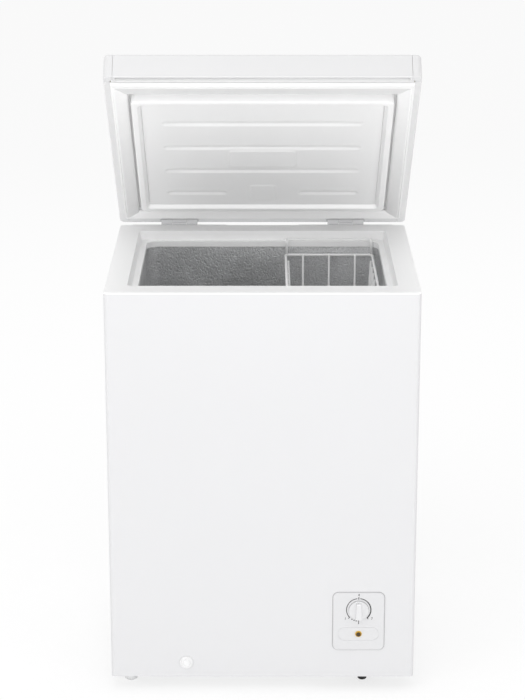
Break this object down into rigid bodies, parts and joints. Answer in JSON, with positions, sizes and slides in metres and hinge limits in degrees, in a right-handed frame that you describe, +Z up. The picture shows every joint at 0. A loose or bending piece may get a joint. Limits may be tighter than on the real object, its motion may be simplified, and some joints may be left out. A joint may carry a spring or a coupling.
{
  "type": "chest freezer",
  "caption": "Small white chest freezer with its hinged lid open, a wire basket over the cavity, a thermostat knob and lamp low on the front, and a drain.",
  "frame": {"origin": "on the floor, in the middle of the outline with the lid open as modelled", "axes": "+Z up, +Y to the back, +X to the right seen from the front"},
  "size_m": [0.58, 0.583, 1.1866],
  "materials": {
    "white_steel": "gloss",
    "galvanised_steel": "satin",
    "white_plastic": "satin",
    "silver_plastic": "gloss",
    "grey_plastic": "satin",
    "black_plastic": "satin",
    "amber_plastic": "gloss",
    "embossed_aluminium": "embossed",
    "foam": "matte",
    "white_rubber": "matte",
    "black_rubber": "matte",
    "black_steel": "gloss",
    "motor_iron": "matte",
    "copper": "satin",
    "condenser_steel": "matte",
    "coated_wire": "gloss"
  },
  "bodies": {
    "cabinet": {"outer_wrap": "white_steel", "back_panel": "galvanised_steel", "base_pan": "galvanised_steel", "top_frame": "white_plastic", "inner_liner": "embossed_aluminium", "evaporator_coil": "embossed_aluminium", "condenser_coil": "condenser_steel", "cabinet_foam": "foam", "floor_foam": "foam", "drain_pipe": "grey_plastic", "foot_sockets": "grey_plastic", "foot_front_right": "black_rubber", "foot_rear_right": "black_rubber", "compressor_tray": "galvanised_steel", "compressor_grommets": "black_rubber", "compressor_bracket": "galvanised_steel", "compressor_bolts": "galvanised_steel", "compressor_lower_shell": "black_steel", "compressor_upper_shell": "black_steel", "compressor_motor": "motor_iron", "relay_cover": "black_plastic", "filter_drier": "copper", "suction_pipe": "copper", "discharge_pipe": "copper", "rear_grille": "black_plastic", "grille_screws": "galvanised_steel", "cord_gland": "black_rubber", "control_bezel": "white_plastic", "lamp_lens": "amber_plastic", "thermostat_body": "grey_plastic", "hinge_bracket_left": "white_steel", "hinge_bracket_right": "white_steel", "hinge_pins": "galvanised_steel", "hinge_screws": "galvanised_steel"},
    "lid": {"lid_front_trim": "white_plastic", "lid_rear_trim": "white_plastic", "lid_side_trim_left": "white_plastic", "lid_side_trim_right": "white_plastic", "lid_front_cap_left": "white_plastic", "lid_front_cap_right": "white_plastic", "lid_rear_cap_left": "white_plastic", "lid_rear_cap_right": "white_plastic", "lid_top_panel": "white_steel", "lid_foam": "foam", "lid_liner": "white_plastic", "lid_gasket": "white_rubber", "gasket_magnet": "black_rubber", "hinge_leaf_left": "white_steel", "hinge_leaf_right": "white_steel", "leaf_screws": "galvanised_steel"},
    "knob": {"knob": "silver_plastic", "thermostat_shaft": "grey_plastic"},
    "drain_cap": {"drain_cap": "white_plastic"},
    "drain_stopper": {"drain_stopper": "black_rubber"},
    "basket": {"basket_rail": "coated_wire", "basket_hangers": "coated_wire", "basket_cross_wires": "coated_wire", "basket_long_wires": "coated_wire"},
    "foot_front_left": {"foot_front_left": "white_plastic"},
    "foot_rear_left": {"foot_rear_left": "white_plastic"}
  },
  "joints": [
    {"name": "lid_hinge", "type": "hinge", "parent": "cabinet", "child": "lid", "pos_m": [0, 0.2408, 0.791], "axis": [-1, 0, 0], "range_deg": [-43, 37]},
    {"name": "knob_turn", "type": "hinge", "parent": "cabinet", "child": "knob", "pos_m": [0.1815, -0.2752, 0.1644], "axis": [0, 1, 0], "range_deg": [-160, 110]},
    {"name": "drain_cap_pull", "type": "slide", "parent": "cabinet", "child": "drain_cap", "axis": [0, -1, 0], "range_m": [0, 0.02]},
    {"name": "drain_stopper_lift", "type": "slide", "parent": "cabinet", "child": "drain_stopper", "axis": [0, 0, 1], "range_m": [0, 0.03]},
    {"name": "basket_slide", "type": "slide", "parent": "cabinet", "child": "basket", "axis": [-1, 0, 0], "range_m": [0, 0.266]},
    {"name": "foot_front_left_level", "type": "slide", "parent": "cabinet", "child": "foot_front_left", "axis": [0, 0, -1], "range_m": [0, 0.008]},
    {"name": "foot_rear_left_level", "type": "slide", "parent": "cabinet", "child": "foot_rear_left", "axis": [0, 0, -1], "range_m": [0, 0.008]}
  ]
}
